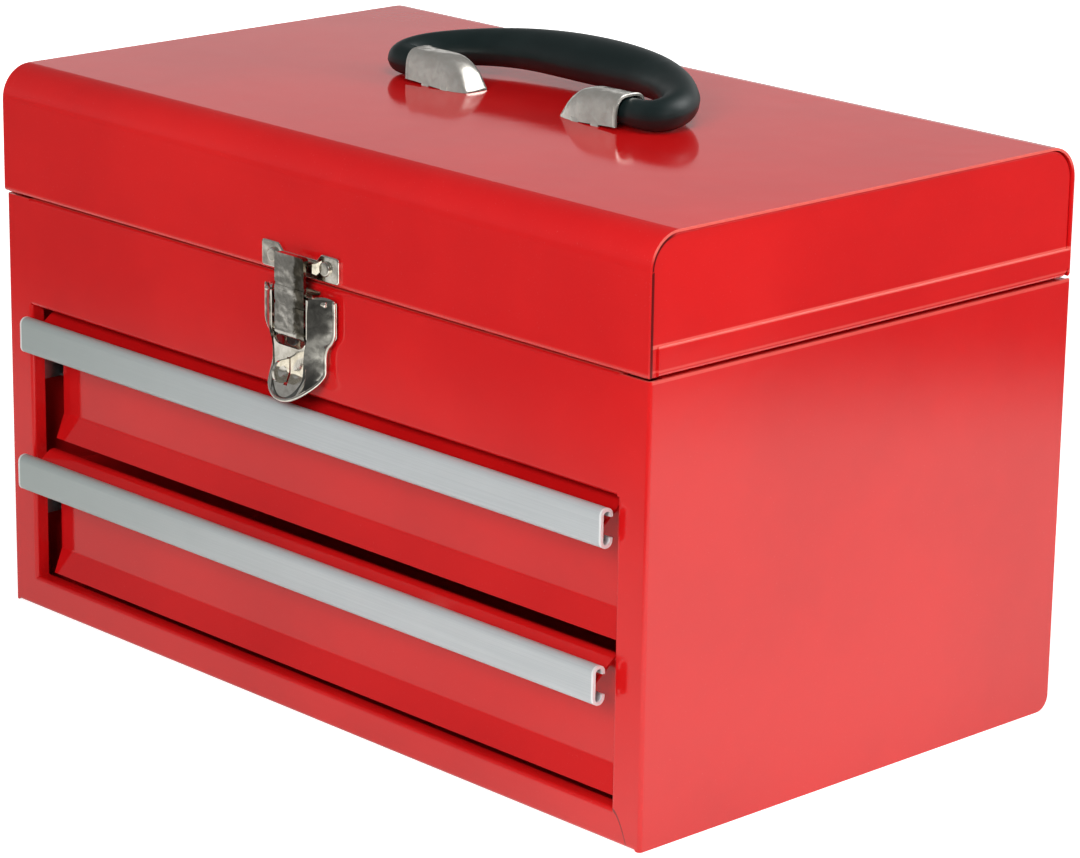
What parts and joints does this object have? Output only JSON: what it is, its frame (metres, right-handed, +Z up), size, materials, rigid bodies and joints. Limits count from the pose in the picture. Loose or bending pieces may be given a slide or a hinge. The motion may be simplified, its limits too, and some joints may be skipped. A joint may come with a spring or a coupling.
{
  "type": "portable tool box with drawers",
  "caption": "Portable steel tool box: hinged lid over a top compartment, drawers with full-width pulls, a draw latch on the front and a folding carrying handle on the lid.",
  "frame": {"origin": "middle of the case's underside, which stands on the floor", "axes": "+X to the right along the width, +Y to the back, +Z up; the drawers, the latch and the pulls face -Y"},
  "size_m": [0.36, 0.2369, 0.2392],
  "materials": {
    "red_paint": "gloss",
    "nickel_plate": "bright, slightly worn",
    "zinc_steel": "satin",
    "satin_aluminium": "satin",
    "black_rubber": "semi-matte",
    "black_nylon": "matte"
  },
  "bodies": {
    "case": {"case_side_left": "red_paint", "case_side_right": "red_paint", "case_wrap": "red_paint", "case_front_panel": "red_paint", "compartment_floor": "red_paint", "upper_runner_left": "zinc_steel", "upper_runner_right": "zinc_steel", "lower_runner_left": "zinc_steel", "lower_runner_right": "zinc_steel", "hinge_leaf_case": "zinc_steel", "hinge_rivets_case": "zinc_steel", "latch_base": "nickel_plate", "latch_base_rivets": "zinc_steel", "latch_pin": "nickel_plate"},
    "lid": {"lid_wrap": "red_paint", "lid_end_left": "red_paint", "lid_end_right": "red_paint", "hinge_leaf_lid": "zinc_steel", "hinge_pin": "zinc_steel", "hinge_rivets_lid": "zinc_steel", "latch_strike": "nickel_plate", "latch_strike_rivets": "nickel_plate", "handle_cap_left": "nickel_plate", "handle_cap_right": "nickel_plate", "handle_saddle_left": "black_nylon", "handle_saddle_right": "black_nylon"},
    "handle": {"handle_grip": "black_rubber", "handle_rods": "zinc_steel"},
    "upper_drawer": {"upper_drawer_front": "red_paint", "upper_drawer_pull": "satin_aluminium", "upper_drawer_tray": "red_paint", "upper_drawer_slides": "zinc_steel"},
    "lower_drawer": {"lower_drawer_front": "red_paint", "lower_drawer_pull": "satin_aluminium", "lower_drawer_tray": "red_paint", "lower_drawer_slides": "zinc_steel"},
    "lever": {"latch_lever": "nickel_plate", "latch_link_pin": "nickel_plate"},
    "link": {"latch_link": "nickel_plate"}
  },
  "joints": [
    {"name": "lid_hinge", "type": "hinge", "parent": "case", "child": "lid", "pos_m": [0, 0.1111, 0.169], "axis": [-1, 0, 0], "range_deg": [0, 100]},
    {"name": "handle_fold", "type": "hinge", "parent": "lid", "child": "handle", "pos_m": [-0.0003, 0.001, 0.2253], "axis": [1, 0, 0], "range_deg": [0, 168]},
    {"name": "upper_drawer_slide", "type": "slide", "parent": "case", "child": "upper_drawer", "axis": [0, -1, 0], "range_m": [0, 0.15]},
    {"name": "lower_drawer_slide", "type": "slide", "parent": "case", "child": "lower_drawer", "axis": [0, -1, 0], "range_m": [-0.0023, 0.1477]},
    {"name": "latch_lever_hinge", "type": "hinge", "parent": "case", "child": "lever", "pos_m": [0.0018, -0.1124, 0.1633], "axis": [-1, 0, 0], "range_deg": [0, 100]},
    {"name": "latch_link_hinge", "type": "hinge", "parent": "lever", "child": "link", "pos_m": [0.0018, -0.1135, 0.15], "axis": [1, 0, 0], "range_deg": [0, 112]}
  ],
  "couplings": [
    {"joint": "latch_link_hinge", "follows": "latch_lever_hinge", "ratio": 1.1}
  ]
}
